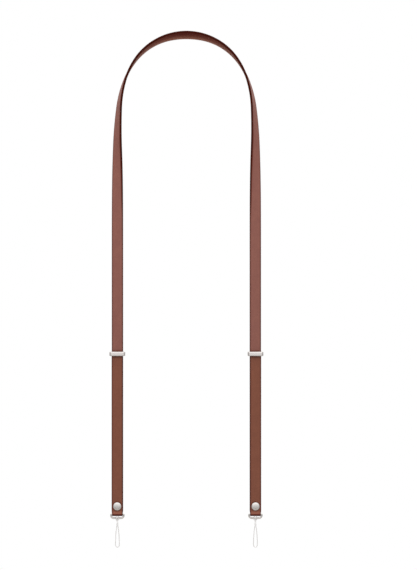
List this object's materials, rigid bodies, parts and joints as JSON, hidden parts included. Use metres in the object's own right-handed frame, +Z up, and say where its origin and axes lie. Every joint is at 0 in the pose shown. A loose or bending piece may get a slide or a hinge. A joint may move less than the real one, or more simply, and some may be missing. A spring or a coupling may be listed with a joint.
{
  "type": "crossbody phone strap",
  "caption": "Leather crossbody strap hanging in a loop, its ends turned up round wire rings and held by snaps and metal keepers, with thin cord loops for a phone.",
  "frame": {"origin": "middle of the strap's inner face at the crown, where it rests on the shoulder", "axes": "+Z up, +X to the right as seen from the front, +Y away from the viewer"},
  "size_m": [0.163, 0.0197, 0.5481],
  "materials": {
    "leather": "smooth grain leather with dark painted edges",
    "nickel": "satin nickel plating",
    "cord": "white braided cord"
  },
  "bodies": {
    "strap": {"strap": "leather", "snap_left": "nickel", "snap_right": "nickel"},
    "keeper_left": {"keeper_left": "nickel"},
    "keeper_right": {"keeper_right": "nickel"},
    "ring_left": {"ring_left": "nickel", "phone_cord_left": "cord"},
    "ring_right": {"ring_right": "nickel", "phone_cord_right": "cord"}
  },
  "joints": [
    {"name": "keeper_left_slide", "type": "slide", "parent": "strap", "child": "keeper_left", "axis": [0, 0, 1], "range_m": [-0.15, 0.09]},
    {"name": "keeper_right_slide", "type": "slide", "parent": "strap", "child": "keeper_right", "axis": [0, 0, 1], "range_m": [-0.15, 0.09]},
    {"name": "ring_left_swing", "type": "hinge", "parent": "strap", "child": "ring_left", "pos_m": [-0.07306, -0.00881, -0.50808], "axis": [1, 0, 0], "range_deg": [-80, 80]},
    {"name": "ring_right_swing", "type": "hinge", "parent": "strap", "child": "ring_right", "pos_m": [0.07306, -0.00881, -0.50808], "axis": [1, 0, 0], "range_deg": [-80, 80]}
  ]
}
